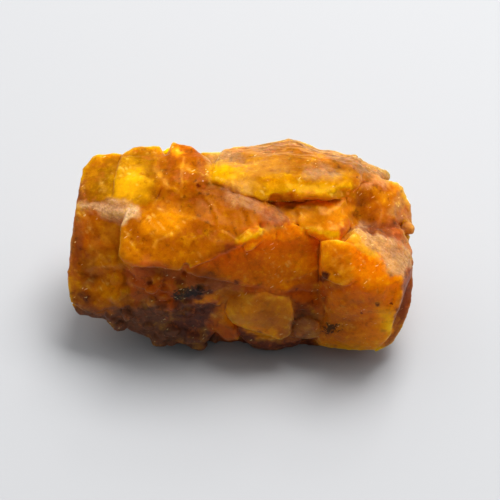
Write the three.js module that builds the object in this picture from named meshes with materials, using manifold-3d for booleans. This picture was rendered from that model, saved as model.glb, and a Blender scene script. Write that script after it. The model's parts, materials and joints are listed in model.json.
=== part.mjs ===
// Rough yellow sapphire: one natural stone, a broken block of translucent corundum.
// The stone is one solid. It is joined from the blocks that it parted into when it broke: each block
// is the convex hull of the corners of its broken face and of the same outline set deeper into the
// stone. Chips are then knocked off the edges, the rough matrix and the crumbs of the rim are added,
// the whole surface is bent by a smooth noise, and the underside is parted flat.
//
// Corners are given on the stone's broad face, in millimetres: across (left to right), up (towards
// the back edge) and out (out of the face). The broad face leans back, and the stone rests on the
// flat parting below it. The part's frame is in millimetres with +Z up, and its origin is under the
// middle of the stone, at rest level.

import * as THREE from 'three';
import { ConvexGeometry } from 'three/addons/geometries/ConvexGeometry.js';
import { TessellateModifier } from 'three/addons/modifiers/TessellateModifier.js';
import { ImprovedNoise } from 'three/addons/math/ImprovedNoise.js';
import { mergeVertices } from 'three/addons/utils/BufferGeometryUtils.js';
import Module from 'manifold-3d';

// ---- Driving dimensions ----
const faceLean = THREE.MathUtils.degToRad(55); // how steeply the broad face looks up, from the horizon
const restLevel = -20.5; // the flat parting, below the middle of the broad face
const cutAway = [80, 80, 20]; // what is taken off below that: across, back and height
const edgeLength = 5; // the longest edge of the mesh before it is bent,
const edgeHalvings = 12; // and how many times an edge may be halved to get there
const samePlace = 1e-4; // corners nearer than this are one corner
const sharpEdge = 0.85; // an edge counts as sharp where its two faces' normals agree less than this
const chipCount = 62;
const chipSize = [0.5, 1.1]; // smallest and largest half width of a chip knocked off an edge,
const chipStretch = [1.4, 3.2]; // its length beside its width,
const chipLift = 0.6; // and how far its middle stands out of the edge, beside its half width
const crumbCount = 44;
const crumbSize = [0.4, 1.0]; // smallest and largest half length of a crumb on the crumbled rim,
const crumbSink = 0.6; // and how deep its middle sits, beside that
const matrixLumps = 56;
const matrixLumpSize = [0.6, 1.6]; // smallest and largest half length of a lump of the matrix,
const matrixLumpSink = 0.4; // and how deep its middle sits, beside that
const lumpWidth = [0.7, 1.3]; // a lump's or crumb's own sizes beside the size picked for it,
const lumpHeight = [0.6, 1.0]; // the last of them flatter
const rootDepth = 6; // how far behind its broken face a block of the broad face is rooted,
const rootFloor = -11.8; // but no deeper than this below the broad face
const rootDraw = 0.96; // a root's outline beside its face's outline
const backTaper = 0.45; // how far the root of any other block is drawn in to the stone's middle
const surfaceBend = [
  // [wavelength, reach] of the noise that bends the surface
  [9.0, 0.45],
  [4.4, 0.2],
];
const noiseStarts = [11.3, 27.1, 41.7]; // where in the noise the shifts along each axis start
const randomSeed = 7; // picks the places and sizes of the chips, crumbs and lumps

// ---- The bulk of the stone, behind the blocks of the broad face ----
const bulkRim = [
  [-22.6, 11.0, -11], [-20, 12.3, -12], [-12, 13.2, -12], [-5, 11.2, -11], [1, 13.2, -12],
  [8, 14.2, -12.5], [15, 12.6, -12.5], [21, 9.3, -12.5], [24, 5, -12], [24.2, -2, -10.5],
  [23.6, -8, -11], [21, -13, -12.5], [14, -14.4, -13.5], [8, -13.6, -14.8], [0, -13.4, -15],
  [-7, -13.4, -15], [-13, -12.2, -14.2], [-19, -9.8, -12.8], [-23.8, -7.8, -11.8],
  [-24.2, -3, -10.5], [-23, 3, -10.5],
];
const bulkFace = [
  [-20, 8, -7.5], [-10, 9, -7], [0, 9, -7], [10, 9, -7.5], [18, 6, -7.5], [20, -3, -5],
  [18, -10, -8], [10, -9, -9], [0, -8, -8], [-10, -6, -6.5], [-18, -4, -8], [-5, 2, -4], [5, 0, -5],
];
// across, back and height in the standing stone
const bulkBack = [
  [-21, 15.1, -3.8], [-8, 17, -3.4], [8, 17.6, -3.2], [20, 15.3, -3.8], [-17, 11.8, -16.5],
  [0, 13.6, -19], [14, 12.8, -19], [21, 11, -15], [-21.5, 13.6, -9], [0, 17.0, -8],
  [21.5, 13.2, -9], [-9, 9, -21.5], [-9, -1, -21.5], [4, -3, -21.5], [17, -2.5, -21.5],
  [18.5, 7, -21.5], [5, 11, -21.5], [-22, 9, -12.5], [-22.5, 0, -12.5], [-15, -1, -16.5],
];

// ---- The blocks of the back, the ends and the underside: across, back and height, as bulkBack ----
const backBlocks = {
  backUpperLeft: [
    [-20, 16.2, -1.5], [-9, 18.3, -0.5], [-7, 18.8, -6], [-12, 17.6, -10], [-18, 16.6, -9],
    [-21, 15.4, -6],
  ],
  backMiddle: [
    [-2, 16.6, -0.6], [0, 17.0, -0.3], [4, 17.6, -0.1], [7.5, 18.0, 0.1], [8.5, 18.3, -7],
    [5, 17.0, -13], [-6, 16.6, -12.5], [-6.5, 16.6, -6],
  ],
  backRight: [
    [7, 18.2, -1], [16, 17.2, -1.5], [20.5, 14.6, -4], [21.5, 13.4, -10], [15, 15.2, -13.5],
    [8, 17.0, -11],
  ],
  backLowerLeft: [
    [-17, 14.2, -8.5], [-4, 16.6, -12], [-3, 14, -18.5], [-12, 12.2, -18.5], [-18, 10.5, -14.5],
  ],
  backLowerRight: [
    [-2, 16.2, -12.8], [12, 15.8, -12.5], [19.5, 12, -11], [18.5, 9.5, -18.5], [8, 12.4, -20],
    [-2, 13, -19],
  ],
  leftEndUpper: [
    [-23.9, 8.4, -3.2], [-24.2, 3.6, -6.6], [-23.2, 14.2, -2.9], [-23.0, 15.2, -6.5],
    [-24.0, 9.5, -10], [-24.3, 4.4, -9.6],
  ],
  leftEndLower: [
    [-24.6, 2.8, -7.4], [-24.7, -0.4, -12.0], [-24.0, 9, -10.2], [-22.4, 9, -14.5],
    [-23.2, 1, -14.6],
  ],
  rightEndUpper: [
    [24.3, 9.8, -5.8], [24.4, 4.0, -6.9], [22.8, 14.4, -5.2], [22.6, 13.2, -10], [24.0, 6, -11],
    [24.4, 3.6, -9],
  ],
  rightEndLower: [
    [24.3, 1.4, -8.8], [23.6, -2.0, -14.0], [24.2, 6, -9.5], [22.6, 10.5, -11], [21.0, 9, -17.5],
    [21.8, 0, -18],
  ],
};
const stoneMiddle = new THREE.Vector3(0, 6, -10);

// ---- Hollows scooped by shell-like breaks: middle on the broad face, radii across, up and out ----
const scoops = [
  { middle: [-22.0, 0.0, 4.0], radii: [5.5, 9.4, 9.6] },
  { middle: [-21.4, -6.0, 2.4], radii: [8.6, 5.6, 9.9] },
  { middle: [19.2, 6.2, 2.0], radii: [7.4, 4.8, 8.4] },
];
const scoopBend = [[4.2, 1.3]]; // [wavelength, reach] of the noise that makes a scoop uneven
const scoopDetail = 3; // how many times a scoop's faces are split

// ---- The crumbled rim: places along it on the broad face, and how far from them it reaches ----
const rimPlaces = [
  [17.5, 12.2, -9.6], [19.4, 11.4, -10.4], [21.2, 10.3, -11.0], [23.6, 8.0, -10.6],
  [24.4, 6.4, -10.2], [24.7, 4.2, -9.4], [24.6, 2.2, -8.4], [24.5, -1.2, -7.6],
];
const rimReach = 2.6;

// ---- The rough brown matrix under the left half: its reach across and up the broad face ----
const matrixAcross = [-19.5, -3.6];
const matrixUp = [-14.6, -4.6];

// ---- Growth layers: thin plates that step down towards the slab's back edge ----
// Each pair is a place on the slab's back edge and the place in front of it where the layers run out.
const growthLines = [
  [[-0.5, 13.9, -9.3], [2.0, 10.6, -3.9]],
  [[3.8, 14.9, -9.8], [6.0, 10.4, -3.5]],
  [[7.4, 15.3, -10.1], [9.0, 10.2, -3.3]],
  [[12.2, 14.3, -10.2], [12.5, 10.0, -3.6]],
  [[16.0, 13.6, -10.4], [15.4, 9.8, -4.4]],
  [[18.2, 12.0, -10.4], [16.8, 9.6, -5.2]],
];
const growthEdges = [
  // [how far in from the back edge, as a share of the way to the front, height of the step]
  [0.08, 0.3],
  [0.2, 0.5],
  [0.36, 0.66],
];
const growthDepth = 1.5; // how far a layer reaches into the slab
const growthWander = [0.7, 1.3]; // how far its edge strays from its line, as a share of the way in

// ---- The blocks of the broad face ----
const faceBlocks = {
  centralBlock: [
    [-17.2, 3.0, -2.4], [-17.2, -1.3, -1.7], [-16.4, -3.0, -1.5], [-13.9, -2.4, -0.9],
    [-11, -2.9, -0.4], [-6.9, -3.4, 0.0], [-3.8, 0.2, 0.5], [-0.1, 0.3, 0.4], [3.0, 1.4, 0.1],
    [7.1, 3.5, -1.4], [3.2, 5.9, -2.2], [-0.9, 7.4, -3.0], [-5.9, 7.4, -3.3], [-11, 6.7, -3.4],
    [-14.6, 4.8, -2.8], [-14.5, 7.6, -4.8], [-5.5, 9.6, -5.4], [1.5, 8.2, -4.4],
  ],
  shadedBlock: [
    [7.1, 3.4, -1.5], [3.0, 1.3, 0.0], [-0.1, 0.2, 0.3], [-3.8, 0.1, 0.4], [-6.7, -1.5, 0.1],
    [-7.5, -3.9, -1.6], [-3.0, -5.1, -2.9], [2.0, -5.7, -3.5], [7.1, -6.6, -4.8],
    [12.9, -6.2, -5.4], [13.4, -2.5, -4.2], [13.2, 0.9, -3.0], [8.8, 2.6, -1.9],
  ],
  edgeTooth: [
    [-0.2, 1.4, 0.6], [0.5, -0.8, 0.3], [1.4, -0.5, 0.5], [3.4, 1.3, 0.1], [2.6, 2.6, 0.1],
    [0.9, 2.2, 0.5],
  ],
  leftColumn: [
    [-23.9, 5.4, -6.4], [-23.9, 2.5, -6.2], [-24.3, -0.7, -6.4], [-25.1, -4.8, -7.6],
    [-24.9, -8.3, -9.2], [-21.9, -9.5, -9.4], [-18.0, -8.6, -7.6], [-16.6, -5.5, -5.4],
    [-16.4, -1.5, -4.4], [-16.6, 4.0, -3.9], [-18.5, 5.0, -4.2],
  ],
  leftShelf: [
    [-23.9, 5.3, -6.3], [-20.5, 4.9, -5.0], [-16.4, 4.3, -3.7], [-14.4, 4.8, -2.9],
    [-14.6, 6.2, -3.9], [-18.5, 6.8, -5.2], [-23.6, 7.0, -7.2],
  ],
  topLeftBlock: [
    [-23.6, 6.6, -6.9], [-23.5, 9.0, -7.8], [-22.7, 11.7, -9.6], [-21.4, 13.1, -10.2],
    [-20.4, 13.5, -10.4], [-17.4, 13.2, -9.8], [-12.2, 7.2, -3.7], [-14.4, 5.4, -3.2],
    [-18.8, 6.4, -4.6],
  ],
  topLeftLobe: [
    [-17.4, 13.2, -9.2], [-16.0, 14.2, -9.8], [-12.0, 14.4, -9.8], [-10.8, 12.5, -7.0],
    [-11.2, 8.8, -3.9], [-12.6, 6.0, -3.0], [-14.8, 5.6, -3.3], [-18.3, 6.4, -4.5],
    [-18.2, 9.4, -5.6],
  ],
  orangeLump: [
    [-11.3, 12.5, -7.2], [-11.6, 9.0, -4.2], [-11.2, 6.4, -3.2], [-8.6, 5.8, -2.9],
    [-5.4, 6.6, -3.1], [-4.2, 9.2, -4.5], [-4.9, 12.2, -6.8], [-7.3, 14.5, -8.6],
    [-9.9, 14.9, -9.2], [-9.6, 9.4, -3.8], [-7.0, 9.2, -3.6], [-8.8, 13.0, -6.5],
    [-6.8, 12.6, -6.2],
  ],
  upperSlab: [
    [-3.8, 11.9, -6.2], [-2.8, 13.9, -9.6], [0.3, 14.1, -9.4], [4.0, 14.9, -9.8],
    [7.4, 15.4, -10.2], [12.5, 14.2, -10.2], [15.8, 13.7, -10.4], [18.3, 12.0, -10.4],
    [-4.5, 9.3, -4.5], [1.3, 10.4, -3.7], [8.6, 10.2, -3.2], [14.3, 9.9, -3.8], [17.2, 9.6, -5.2],
    [0.6, 7.3, -2.5], [3.1, 6.4, -2.1], [4.4, 6.9, -2.2], [7.5, 7.7, -2.3], [15.1, 7.1, -2.7],
    [16.4, 7.6, -3.6],
  ],
  slabCorner: [
    [15.5, 13.2, -9.4], [18.9, 11.8, -9.8], [21.6, 10.7, -11.2], [21.6, 9.8, -10.6],
    [19.0, 9.2, -6.8], [16.6, 9.2, -5.2], [15.8, 11.2, -6.6],
  ],
  slabRecess: [
    [2.6, 7.2, -4.4], [7.6, 8.4, -5.6], [8.6, 5.4, -4.6], [8.6, 3.0, -2.7], [6.6, 3.4, -2.0],
    [3.0, 5.6, -3.0], [15.5, 8.0, -5.8], [16.4, 4.4, -4.8],
  ],
  recessCrystal: [
    [7.8, 5.4, -3.4], [8.6, 7.0, -4.4], [15.0, 6.8, -4.6], [15.8, 4.5, -3.6], [15.4, 2.6, -2.8],
    [13.8, 1.3, -1.7], [11.4, 1.2, -1.4], [9.8, 2.2, -1.7], [8.3, 3.5, -2.3], [12.0, 4.6, -2.4],
  ],
  rightShoulder: [
    [15.8, 8.0, -5.2], [19.0, 9.6, -7.4], [21.9, 9.2, -9.2], [23.4, 8.0, -9.8], [24.5, 6.2, -9.8],
    [24.9, 4.6, -9.4], [24.6, 2.0, -8.0], [21.5, 1.4, -4.9], [17.2, 2.6, -3.4], [15.0, 2.6, -3.3],
  ],
  rightBlock: [
    [11.8, 0.9, -1.9], [15.5, 1.0, -1.0], [17.0, 2.8, -2.6], [19.4, -1.3, -0.9], [23.4, 2.4, -6.0],
    [24.9, -0.5, -6.2], [24.9, -3.5, -6.2], [23.0, -4.6, -2.2], [23.0, -7.8, -3.3],
    [22.3, -10.7, -5.0], [21.4, -13.3, -7.2], [19.3, -15.0, -10.4], [14.3, -15.2, -11.2],
    [11.2, -14.5, -11.0], [13.4, -9.3, -4.9], [13.2, -5.7, -2.6], [11.7, -2.3, -1.9],
    [18.0, -6.4, -0.7],
  ],
  rightFlank: [
    [24.8, -0.5, -6.6], [24.9, -4.9, -7.2], [24.7, -7.8, -8.2], [23.6, -11.6, -9.8],
    [22.1, -14.1, -10.8], [19.5, -15.2, -11.2], [21.0, -12.0, -8.4], [22.9, -5.0, -5.0],
  ],
  raisedPlate: [
    [11.7, 0.7, -0.9], [13.6, 1.0, -0.4], [16.4, 0.2, -0.8], [17.4, -2.6, -0.7], [16.8, -4.4, -0.7],
    [15.0, -5.7, -0.9], [13.4, -5.4, -0.9], [12.0, -4.2, -0.7], [11.5, -2.2, -0.5],
  ],
  lowerHollow: [
    [-3.6, -5.0, -3.6], [2.0, -5.6, -3.9], [7.1, -6.4, -5.0], [11.9, -6.4, -5.6],
    [12.6, -9.3, -6.8], [11.6, -13.6, -10.6], [4.0, -12.8, -10.0], [-4.6, -12.2, -9.6],
    [-4.8, -8.0, -6.6],
  ],
  lowerCrystal: [
    [-1.9, -7.5, -5.4], [0.4, -6.8, -4.7], [3.4, -6.7, -4.5], [6.9, -7.7, -5.1], [7.6, -10.4, -6.3],
    [7.0, -13.0, -8.2], [5.8, -13.4, -8.4], [3.4, -12.3, -7.3], [1.2, -11.9, -6.8],
    [-1.4, -11.1, -6.4], [-2.5, -9.6, -6.2], [0.6, -9.9, -5.1], [3.8, -9.0, -4.9],
  ],
  lowerBud: [
    [-3.9, -9.6, -8.0], [-2.6, -10.2, -7.6], [-1.0, -12.0, -8.2], [-0.6, -13.2, -9.4],
    [-2.3, -13.9, -10.4], [-3.9, -12.4, -9.6],
  ],
  darkFoot: [
    [-17.0, -2.4, -3.4], [-13.9, -2.0, -2.7], [-8.1, -2.6, -2.0], [-3.0, -5.0, -3.2],
    [-2.9, -7.8, -5.9], [-4.1, -12.2, -10.2], [-6.2, -14.9, -13.6], [-8.1, -14.4, -13.6],
    [-13.2, -13.7, -13.0], [-16.1, -12.3, -12.2], [-20.4, -10.4, -11.0], [-18.7, -8.6, -7.9],
  ],
  leftFoot: [
    [-25.0, -8.6, -9.8], [-23.5, -9.8, -10.2], [-20.4, -10.5, -11.2], [-19.5, -9.0, -9.2],
    [-22.5, -8.2, -9.0],
  ],
  lowerFoot: [
    [-0.6, -12.6, -10.8], [1.6, -14.8, -13.4], [5.0, -15.1, -13.8], [8.2, -14.6, -13.2],
    [8.8, -13.2, -11.0], [4.2, -12.4, -9.8],
  ],
  greyCrystals: [
    [7.6, -10.8, -8.0], [9.4, -10.6, -7.4], [11.2, -11.2, -7.8], [11.5, -13.0, -9.6],
    [9.6, -13.4, -9.8], [7.8, -13.0, -9.2], [9.8, -12.0, -7.8],
  ],
};

// ---- Solids ----
const wasm = await Module();
wasm.setup();

// The broad face's own axes in the standing stone.
const acrossAxis = new THREE.Vector3(1, 0, 0);
const upAxis = new THREE.Vector3(0, Math.sin(faceLean), Math.cos(faceLean));
const outAxis = new THREE.Vector3(0, -Math.cos(faceLean), Math.sin(faceLean));

function onFace([across, up, out]) {
  return new THREE.Vector3()
    .addScaledVector(acrossAxis, across)
    .addScaledVector(upAxis, up)
    .addScaledVector(outAxis, out);
}

function standing([across, back, height]) {
  return new THREE.Vector3(across, back, height);
}

function toSolid(geometry) {
  const bare = geometry.clone();
  bare.deleteAttribute('normal');
  bare.deleteAttribute('uv');
  const merged = mergeVertices(bare, samePlace);
  return new wasm.Manifold(
    new wasm.Mesh({
      numProp: 3,
      vertProperties: new Float32Array(merged.attributes.position.array),
      triVerts: new Uint32Array(merged.index.array),
    }),
  );
}

function toGeometry(solid) {
  const mesh = solid.getMesh();
  const geometry = new THREE.BufferGeometry();
  geometry.setAttribute('position', new THREE.BufferAttribute(mesh.vertProperties, 3));
  geometry.setIndex(new THREE.BufferAttribute(mesh.triVerts, 1));
  return geometry;
}

function hullOf(points) {
  return toSolid(new ConvexGeometry(points));
}

// A block of the broad face is its broken face and the same outline, drawn in a little and deeper.
function faceBlock(corners) {
  const roots = corners.map(([across, up, out]) => [
    across * rootDraw,
    up * rootDraw,
    Math.max(out - rootDepth, rootFloor),
  ]);
  return hullOf([...corners, ...roots].map(onFace));
}

// Any other block is its broken face and the same outline drawn in towards the stone's middle.
function backBlock(corners) {
  const places = corners.map(standing);
  const roots = places.map((place) => place.clone().lerp(stoneMiddle, backTaper));
  return hullOf([...places, ...roots]);
}

function bulkSolid() {
  return hullOf([...[...bulkRim, ...bulkFace].map(onFace), ...bulkBack.map(standing)]);
}

const noise = new ImprovedNoise();

// Shifts every point by a smooth noise in all three directions.
function bendSurface(geometry, octaves) {
  const position = geometry.attributes.position;
  const place = new THREE.Vector3();
  for (let i = 0; i < position.count; i++) {
    place.fromBufferAttribute(position, i);
    const shift = new THREE.Vector3();
    for (const [wavelength, reach] of octaves) {
      const [x, y, z] = place.toArray().map((value) => value / wavelength);
      shift.x += reach * noise.noise(x + noiseStarts[0], y, z);
      shift.y += reach * noise.noise(x, y + noiseStarts[1], z);
      shift.z += reach * noise.noise(x, y, z + noiseStarts[2]);
    }
    position.setXYZ(i, ...place.add(shift).toArray());
  }
}

function scoopSolid({ middle, radii }) {
  const bowl = new THREE.IcosahedronGeometry(1, scoopDetail).scale(...radii);
  bowl.rotateX(Math.PI / 2 - faceLean);
  bendSurface(bowl.translate(...onFace(middle).toArray()), scoopBend);
  return toSolid(bowl);
}

// A growth layer is a wedge that stands up at its back edge and runs out to nothing at the front.
function growthLayer([inset, height]) {
  const places = [];
  for (const [back, front] of growthLines) {
    const along = between(growthWander) * inset;
    const [across, up, out] = back.map((value, axis) => value + (front[axis] - value) * along);
    places.push([across, up, out + height], [across, up, out - growthDepth]);
    places.push(front, [front[0], front[1], front[2] - growthDepth]);
  }
  return hullOf(places.map(onFace));
}

function seededRandom(seed) {
  const [multiplier, increment, range] = [1664525, 1013904223, 2 ** 32];
  let state = seed;
  return () => {
    state = (Math.imul(state, multiplier) + increment) >>> 0;
    return state / range;
  };
}

const random = seededRandom(randomSeed);

function between([low, high]) {
  return low + (high - low) * random();
}

// A small broken lump with flat sides, turned at random.
function turnedLump(middle, size) {
  const lump = new THREE.IcosahedronGeometry(size);
  lump.scale(between(lumpWidth), between(lumpWidth), between(lumpHeight));
  lump.rotateX(random() * Math.PI).rotateY(random() * Math.PI).rotateZ(random() * Math.PI);
  return toSolid(lump.translate(middle.x, middle.y, middle.z));
}

// A solid's corners and its triangles, each a ring of three corner numbers with the way it faces.
function meshOf(solid) {
  const { vertProperties, triVerts } = solid.getMesh();
  const corners = [];
  for (let i = 0; i < vertProperties.length; i += 3) {
    corners.push(new THREE.Vector3().fromArray(vertProperties, i));
  }
  const triangles = [];
  for (let i = 0; i < triVerts.length; i += 3) {
    const ring = [...triVerts.subarray(i, i + 3)];
    const triangle = new THREE.Triangle(...ring.map((index) => corners[index]));
    triangles.push({ ring, normal: triangle.getNormal(new THREE.Vector3()), area: triangle.getArea() });
  }
  return { corners, triangles };
}

// The edges where two faces of a solid meet sharply and stand out.
function sharpEdges(solid) {
  const { corners, triangles } = meshOf(solid);
  const facingAlong = new Map();
  const edges = [];
  for (const { ring, normal } of triangles) {
    for (const k of [0, 1, 2]) {
      const [from, to, beyond] = [ring[k], ring[(k + 1) % 3], ring[(k + 2) % 3]];
      const facing = facingAlong.get(`${to} ${from}`);
      facingAlong.set(`${from} ${to}`, normal);
      if (!facing || normal.dot(facing) > sharpEdge) continue;
      if (corners[beyond].clone().sub(corners[from]).dot(facing) > 0) continue; // a valley
      const outward = normal.clone().add(facing).normalize();
      edges.push({ start: corners[from], end: corners[to], outward });
    }
  }
  return edges;
}

// A number of places picked at random along a list of edges, each with the way its edge runs and faces.
function placesAlong(edges, count) {
  const ends = [];
  let total = 0;
  for (const { start, end } of edges) {
    total += start.distanceTo(end);
    ends.push(total);
  }
  return Array.from({ length: count }, () => {
    const reached = random() * total;
    const { start, end, outward } = edges[ends.findIndex((length) => length >= reached)];
    const middle = start.clone().lerp(end, random());
    return { middle, outward, direction: end.clone().sub(start).normalize() };
  });
}

function onRim({ start, end }) {
  const middle = start.clone().add(end).divideScalar(2);
  return rimPlaces.some((place) => onFace(place).distanceTo(middle) < rimReach);
}

// A chip takes a long shallow bite along its edge.
function knockOffChips(solid) {
  let chipped = solid;
  for (const { middle, outward, direction } of placesAlong(sharpEdges(solid), chipCount)) {
    const size = between(chipSize);
    const chip = new THREE.IcosahedronGeometry(size).scale(between(chipStretch), 1, 1);
    chip.applyQuaternion(new THREE.Quaternion().setFromUnitVectors(acrossAxis, direction));
    middle.addScaledVector(outward, size * chipLift);
    chipped = chipped.subtract(toSolid(chip.translate(middle.x, middle.y, middle.z)));
  }
  return chipped;
}

function within([low, high], value) {
  return value > low && value < high;
}

// Places picked at random, evenly over the matrix's face.
function placesOnMatrix(solid, count) {
  const { corners, triangles } = meshOf(solid);
  const front = triangles.filter(({ normal }) => normal.dot(outAxis) > 0);
  const largest = Math.max(...front.map(({ area }) => area));
  const places = [];
  while (places.length < count) {
    const { ring, area } = front[Math.floor(random() * front.length)];
    if (random() * largest > area) continue;
    const [a, b, c] = ring.map((index) => corners[index]);
    const place = a.clone().lerp(b, random()).lerp(c, 1 - Math.sqrt(random()));
    if (within(matrixAcross, place.x) && within(matrixUp, place.dot(upAxis))) places.push(place);
  }
  return places;
}

function addMatrix(solid) {
  let rough = solid;
  for (const middle of placesOnMatrix(solid, matrixLumps)) {
    const size = between(matrixLumpSize);
    middle.addScaledVector(outAxis, -size * matrixLumpSink);
    rough = rough.add(turnedLump(middle, size));
  }
  return rough;
}

function addCrumbs(solid) {
  let crumbled = solid;
  for (const { middle, outward } of placesAlong(sharpEdges(solid).filter(onRim), crumbCount)) {
    const size = between(crumbSize);
    middle.addScaledVector(outward, -size * crumbSink);
    crumbled = crumbled.add(turnedLump(middle, size));
  }
  return crumbled;
}

let stone = bulkSolid();
for (const corners of Object.values(faceBlocks)) stone = stone.add(faceBlock(corners));
for (const corners of Object.values(backBlocks)) stone = stone.add(backBlock(corners));
for (const edge of growthEdges) stone = stone.add(growthLayer(edge));
for (const scoop of scoops) stone = stone.subtract(scoopSolid(scoop));
stone = knockOffChips(stone);
stone = addMatrix(stone);
stone = addCrumbs(stone);

// ---- Finished surface ----
let surface = new TessellateModifier(edgeLength, edgeHalvings).modify(toGeometry(stone).toNonIndexed());
surface = mergeVertices(surface, samePlace);
bendSurface(surface, surfaceBend);

// The underside parted flat: this is what the stone rests on.
const below = new THREE.BoxGeometry(...cutAway).translate(0, 0, restLevel - cutAway[2] / 2);
const parted = toSolid(surface).subtract(toSolid(below));
const largest = parted.decompose().sort((one, other) => other.volume() - one.volume())[0];
surface = toGeometry(largest); // without the splinters that the chips left loose
surface.computeBoundingBox();
const { min, max } = surface.boundingBox;
surface.translate(-(min.x + max.x) / 2, -(min.y + max.y) / 2, -min.z);
surface.computeVertexNormals();

const sapphire = new THREE.Mesh(
  surface,
  new THREE.MeshStandardMaterial({ color: 0xd07c10, roughness: 0.3, metalness: 0 }),
);
sapphire.name = 'sapphire';

const part = new THREE.Group();
part.add(sapphire);

export default part;
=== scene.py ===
import json
import math

import bpy
import numpy as np
from mathutils import Matrix, Vector, noise

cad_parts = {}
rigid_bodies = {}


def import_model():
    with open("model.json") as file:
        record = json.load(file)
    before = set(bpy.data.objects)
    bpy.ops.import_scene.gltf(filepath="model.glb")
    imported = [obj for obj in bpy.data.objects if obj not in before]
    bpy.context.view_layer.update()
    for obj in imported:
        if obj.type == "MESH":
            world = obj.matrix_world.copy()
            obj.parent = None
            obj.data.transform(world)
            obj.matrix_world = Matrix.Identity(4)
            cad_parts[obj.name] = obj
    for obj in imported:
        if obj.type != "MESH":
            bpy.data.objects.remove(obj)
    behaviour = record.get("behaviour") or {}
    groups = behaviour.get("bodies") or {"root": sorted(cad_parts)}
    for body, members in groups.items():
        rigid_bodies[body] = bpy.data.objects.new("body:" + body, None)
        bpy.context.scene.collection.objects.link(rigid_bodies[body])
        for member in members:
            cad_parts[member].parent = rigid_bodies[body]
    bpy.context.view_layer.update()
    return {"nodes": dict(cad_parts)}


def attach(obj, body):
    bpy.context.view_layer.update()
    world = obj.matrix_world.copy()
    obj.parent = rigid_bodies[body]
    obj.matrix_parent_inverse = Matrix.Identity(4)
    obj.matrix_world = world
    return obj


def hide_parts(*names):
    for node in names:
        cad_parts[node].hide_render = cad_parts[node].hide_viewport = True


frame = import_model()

# Rough yellow sapphire: a broken block of translucent corundum on a pale floor.
# Places on the stone are given on its broad face, in millimetres: across (left to right), up (towards the
# back edge) and out (out of the face).

metre = 1000.0  # millimetres in a metre

face = {
    "middle": (0.011, -6.215, 20.5),  # of the broad face, in the standing stone
    "lean": 55.0,  # degrees from the horizon that the face looks up
}
turn = math.radians(90 - face["lean"])
acrossAxis = Vector((1, 0, 0))
upAxis = Vector((0, math.cos(turn), math.sin(turn)))
outAxis = Vector((0, -math.sin(turn), math.cos(turn)))

stone = {
    "weldBelow": 2e-6,  # metres between corners of the solid that are one
    "voxel": 0.25,  # millimetres
    "softening": 4,  # rounds of smoothing that take the razor edge off the breaks
    "smoothBy": 0.5,
    "lastSoftening": (1, 0.4),  # rounds after the relief, and how strong they are
    "fillPits": (40, 0.4),  # rounds that find narrow pits, and the depth in millimetres that they keep
    "swell": 0.22,  # millimetres given back after the smoothing
    "wanderSeed": 4,  # of the smooth wander of zone edges
    "flatBelow": 0.12,  # millimetres above the floor that still count as the resting face
}

# Each relief's texture, the size of its features and its height in millimetres, its detail, where it lies,
# and any stretch and turn on the face.
reliefs = {
    "wander": {"kind": "CLOUDS", "size": 2.6, "height": 0.6, "depth": 2, "where": "all", "sideways": True},
    "waxy": {"kind": "CLOUDS", "size": 3.4, "height": 0.14, "depth": 3, "where": "all"},
    "scallops": {"kind": "VORONOI", "size": 4.2, "height": 0.35, "depth": 0, "where": "all"},
    "chips": {"kind": "VORONOI", "size": 1.9, "height": 0.12, "depth": 0, "where": "all"},
    "streaks": {"kind": "CLOUDS", "size": 1.0, "height": 0.12, "depth": 2, "where": "slabTop",
                "stretch": (7.0, 0.6, 0.6), "turn": -4.0},
    "crumble": {"kind": "VORONOI", "size": 0.9, "height": -0.1, "depth": 0, "where": "frosted"},
    "grit": {"kind": "CLOUDS", "size": 0.9, "height": 0.2, "depth": 3, "where": "rough"},
}

places = {  # where reliefs lie: soft ellipsoids on the broad face, middle and radii
    "slabTop": [((9.0, 14.6, -9.0), (13.0, 2.2, 4.5))],
    "rough": [((-11.5, -9.5, -8.5), (9.5, 6.5, 6.0)), ((22.5, 6.0, -8.5), (4.6, 7.5, 6.0)),
              ((20.0, 0.5, -4.5), (5.5, 3.5, 4.5)), ((-19.0, 5.0, -5.0), (5.5, 1.8, 3.0)),
              ((11.0, -12.0, -8.5), (4.0, 3.0, 3.0))],
}
placeEdge = (0.75, 1.25)  # of its radii, where an ellipsoid starts to fade and where it is gone
weightLevels = 20  # steps in which a group's weights are kept

steps = {  # small stepped breaks scattered over the stone
    "count": 260,
    "length": (0.8, 4.0),  # half length, millimetres
    "width": (0.5, 1.6),
    "height": (0.06, 0.24),
    "front": 5,  # how much steeper a break's front is than its back
    "curl": 0.25,  # how far a break bends over its length
    "seed": 11,
}


def standing(across, up, out):  # a place on the broad face, in metres in the standing stone
    place = Vector(face["middle"]) + acrossAxis * across + upAxis * up + outAxis * out
    return place / metre


def onlyThis(piece):
    bpy.ops.object.select_all(action="DESELECT")
    piece.select_set(True)
    bpy.context.view_layer.objects.active = piece


def setMode(name):
    bpy.ops.object.mode_set(mode=name)


def readCorners(piece, what):  # every corner's place in millimetres, or its normal
    flat = np.zeros(len(piece.data.vertices) * 3)
    piece.data.vertices.foreach_get(what, flat)
    return flat.reshape(-1, 3) * (metre if what == "co" else 1)


def moveCorners(piece, at):  # to places in millimetres
    piece.data.vertices.foreach_set("co", (at / metre).ravel())
    piece.data.update()


def facePlaces(piece):  # every corner's place on the broad face, in millimetres
    own = readCorners(piece, "co") - np.array(face["middle"])
    return own @ np.array([acrossAxis, upAxis, outAxis]).T


def nearness(at, blobs):  # 1 in the middle of a soft ellipsoid, 0 past its edge
    near = np.zeros(len(at))
    full, gone = placeEdge
    for middle, radii in blobs:
        far = np.linalg.norm((at - np.array(middle)) / np.array(radii), axis=1)
        near = np.maximum(near, np.clip((gone - far) / (gone - full), 0, 1))
    return near


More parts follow.
